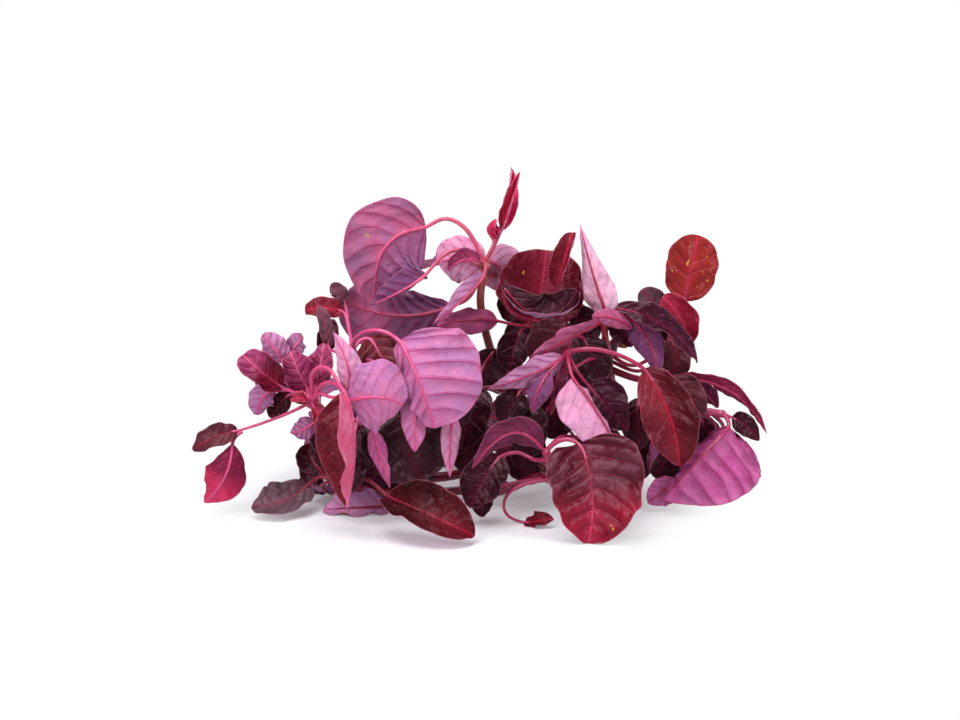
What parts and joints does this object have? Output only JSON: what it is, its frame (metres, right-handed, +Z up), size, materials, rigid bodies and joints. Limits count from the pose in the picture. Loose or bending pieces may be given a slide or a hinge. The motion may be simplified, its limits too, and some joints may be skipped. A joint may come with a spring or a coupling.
{
  "type": "red amaranth greens bunch",
  "caption": "Loose bunch of red amaranth greens, picked leafy shoots with oval leaves on thin stalks, lying in a heap on a flat surface.",
  "frame": {"origin": "on the surface that the bunch lies on, under the middle of its bounding box", "axes": "+X across the heap to the right as seen from the front, +Y to the back, +Z up"},
  "size_m": [0.2849, 0.1762, 0.1639],
  "materials": {
    "leaf": "soft waxy leaf blade, dark red to pink, faint sheen",
    "stem": "smooth juicy stem, crimson pink"
  },
  "bodies": {
    "root": {"shoot_crown": "leaf", "shoot_upper_middle": "leaf", "shoot_upper_right": "leaf", "shoot_centre": "leaf", "shoot_right": "leaf", "shoot_front": "leaf", "shoot_front_left": "leaf", "shoot_left": "leaf", "shoot_centre_left": "leaf", "shoot_inner": "leaf", "shoot_back_left": "leaf", "shoot_back": "leaf", "shoot_back_right": "leaf"}
  },
  "joints": []
}
